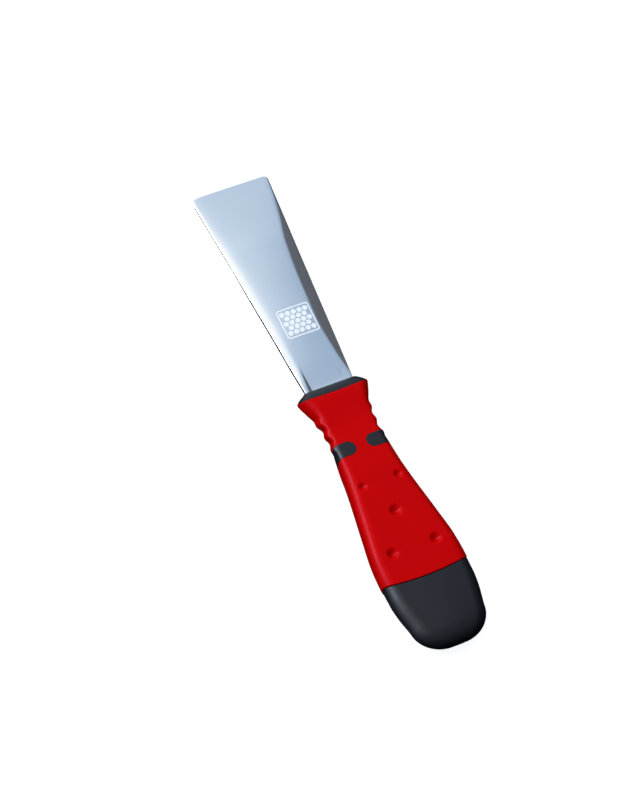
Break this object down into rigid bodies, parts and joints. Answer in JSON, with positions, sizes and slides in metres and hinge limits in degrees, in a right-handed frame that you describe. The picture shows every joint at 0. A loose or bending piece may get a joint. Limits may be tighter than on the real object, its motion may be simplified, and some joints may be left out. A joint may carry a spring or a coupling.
{
  "type": "hive tool",
  "caption": "Scraper-type hive tool: a flared steel blade with folded flanks, riveted into a flat ergonomic handle with a soft grip sleeve, side inlays, a bolster collar and a pommel cap.",
  "frame": {"origin": "middle of the tool's footprint, on the plane that its handle lies on", "axes": "+X to the cutting edge, +Y across the tool, +Z out of the face with the blade's crown"},
  "size_m": [0.225, 0.0372, 0.0126],
  "materials": {
    "blade_steel": "bright polished, with fine lengthwise scratches",
    "rivet_aluminium": "plain",
    "core_plastic": "moulded",
    "black_plastic": "fine satin grain",
    "grip_rubber": "satin soft-touch"
  },
  "bodies": {
    "root": {"blade": "blade_steel", "front_tang_rivet": "rivet_aluminium", "middle_tang_rivet": "rivet_aluminium", "rear_tang_rivet": "rivet_aluminium", "upper_core_shell": "core_plastic", "lower_core_shell": "core_plastic", "bolster": "black_plastic", "grip_sleeve": "grip_rubber", "left_inlay": "black_plastic", "right_inlay": "black_plastic", "pommel_cap": "black_plastic"}
  },
  "joints": []
}
